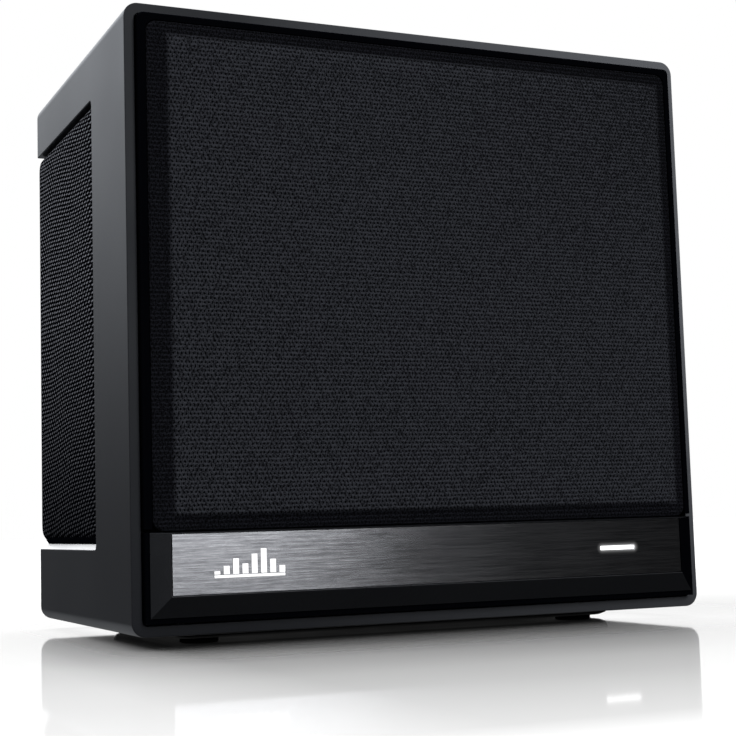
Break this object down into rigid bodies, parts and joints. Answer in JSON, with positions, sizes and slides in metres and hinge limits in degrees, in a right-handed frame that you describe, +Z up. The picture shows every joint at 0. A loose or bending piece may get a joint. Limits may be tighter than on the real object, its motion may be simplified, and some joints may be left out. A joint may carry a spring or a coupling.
{
  "type": "subwoofer",
  "caption": "Compact powered subwoofer: rounded metal sleeve, cloth front and wrapped cloth sides, brushed trim strip with a light bar, woofer, side radiators and rear amplifier.",
  "frame": {"origin": "centre of the bounding box's base, where the foot pads meet the floor", "axes": "+X to the right seen from the front, the front faces -Y, +Z up"},
  "size_m": [0.3, 0.2, 0.2935],
  "materials": {
    "sleeve_graphite": "satin graphite anodised",
    "acoustic_cloth": "black knitted acoustic cloth",
    "black_plastic": "fine moulded texture",
    "gloss_black": "polished",
    "brushed_aluminium": "brushed lengthways",
    "white_lamp": "translucent, lit",
    "white_print": "satin white",
    "fibreboard": "raw medium-density fibreboard",
    "soft_rubber": "matt",
    "pressed_paper": "coated pulp",
    "ferrite": "ground ferrite",
    "zinc_steel": "zinc plated",
    "copper": "enamelled copper winding",
    "painted_steel": "black stoved paint",
    "circuit_board": "solder mask",
    "resin_cloth": "resin-impregnated weave",
    "cast_aluminium": "extruded",
    "amplifier_black": "fine black powder coat"
  },
  "bodies": {
    "enclosure": {"outer_sleeve": "sleeve_graphite", "cabinet": "fibreboard", "front_baffle": "fibreboard", "back_panel": "black_plastic", "trim_moulding": "gloss_black", "trim_plate": "brushed_aluminium", "status_light_lens": "white_lamp", "status_light_board": "circuit_board", "emblem": "white_print", "woofer_basket": "painted_steel", "woofer_surround": "soft_rubber", "woofer_gasket": "soft_rubber", "woofer_spider": "resin_cloth", "woofer_top_plate": "zinc_steel", "woofer_magnet": "ferrite", "woofer_yoke": "zinc_steel", "woofer_terminal_strip": "black_plastic", "amplifier_plate": "amplifier_black", "heat_sink": "cast_aluminium", "amplifier_board": "circuit_board", "mains_transformer": "ferrite", "reservoir_capacitor_1": "gloss_black", "reservoir_capacitor_2": "gloss_black", "wireless_board": "circuit_board", "control_board": "circuit_board", "mains_inlet": "black_plastic", "switch_housing": "black_plastic", "line_in_left": "zinc_steel", "line_in_right": "zinc_steel", "base_plinth": "black_plastic", "woofer_lead_1": "soft_rubber", "woofer_lead_2": "soft_rubber", "status_light_cable": "soft_rubber", "side_cloth_left": "acoustic_cloth", "side_grille_left": "black_plastic", "radiator_frame_left": "painted_steel", "radiator_surround_left": "soft_rubber", "side_cloth_right": "acoustic_cloth", "side_grille_right": "black_plastic", "radiator_frame_right": "painted_steel", "radiator_surround_right": "soft_rubber", "foot_pad_1": "soft_rubber", "amplifier_screw_1": "zinc_steel", "foot_pad_2": "soft_rubber", "amplifier_screw_2": "zinc_steel", "foot_pad_3": "soft_rubber", "amplifier_screw_3": "zinc_steel", "foot_pad_4": "soft_rubber", "amplifier_screw_4": "zinc_steel"},
    "front_grille": {"front_grille_frame": "black_plastic", "front_cloth": "acoustic_cloth"},
    "woofer_moving_parts": {"woofer_cone": "pressed_paper", "woofer_dust_cap": "pressed_paper", "woofer_voice_coil": "copper"},
    "radiator_left": {"radiator_plate_left": "pressed_paper"},
    "radiator_right": {"radiator_plate_right": "pressed_paper"},
    "power_rocker": {"power_rocker": "gloss_black"},
    "pairing_button": {"pairing_button": "gloss_black"},
    "level_knob": {"level_knob": "black_plastic"},
    "phase_switch": {"phase_switch": "black_plastic"}
  },
  "joints": [
    {"name": "woofer_cone_travel", "type": "slide", "parent": "enclosure", "child": "woofer_moving_parts", "axis": [0, -1, 0], "range_m": [-0.005, 0.005], "stiffness_N_per_m": 1800, "deforming": ["woofer_surround", "woofer_spider"]},
    {"name": "radiator_left_travel", "type": "slide", "parent": "enclosure", "child": "radiator_left", "axis": [-1, 0, 0], "range_m": [-0.006, 0.006], "stiffness_N_per_m": 1500, "deforming": ["radiator_surround_left"]},
    {"name": "radiator_right_travel", "type": "slide", "parent": "enclosure", "child": "radiator_right", "axis": [1, 0, 0], "range_m": [-0.006, 0.006], "stiffness_N_per_m": 1500, "deforming": ["radiator_surround_right"]},
    {"name": "front_grille_pull", "type": "slide", "parent": "enclosure", "child": "front_grille", "axis": [0, -1, 0], "range_m": [0, 0.025]},
    {"name": "power_switch_rock", "type": "hinge", "parent": "enclosure", "child": "power_rocker", "pos_m": [-0.045, 0.0834, 0.116], "axis": [0, 0, -1], "range_deg": [0, 14]},
    {"name": "pairing_button_press", "type": "slide", "parent": "enclosure", "child": "pairing_button", "axis": [0, -1, 0], "range_m": [0, 0.0012], "stiffness_N_per_m": 500},
    {"name": "level_knob_turn", "type": "hinge", "parent": "enclosure", "child": "level_knob", "pos_m": [0.042, 0.09, 0.205], "axis": [0, 1, 0], "range_deg": [-150, 150]},
    {"name": "phase_switch_slide", "type": "slide", "parent": "enclosure", "child": "phase_switch", "axis": [1, 0, 0], "range_m": [0, 0.0046]}
  ]
}
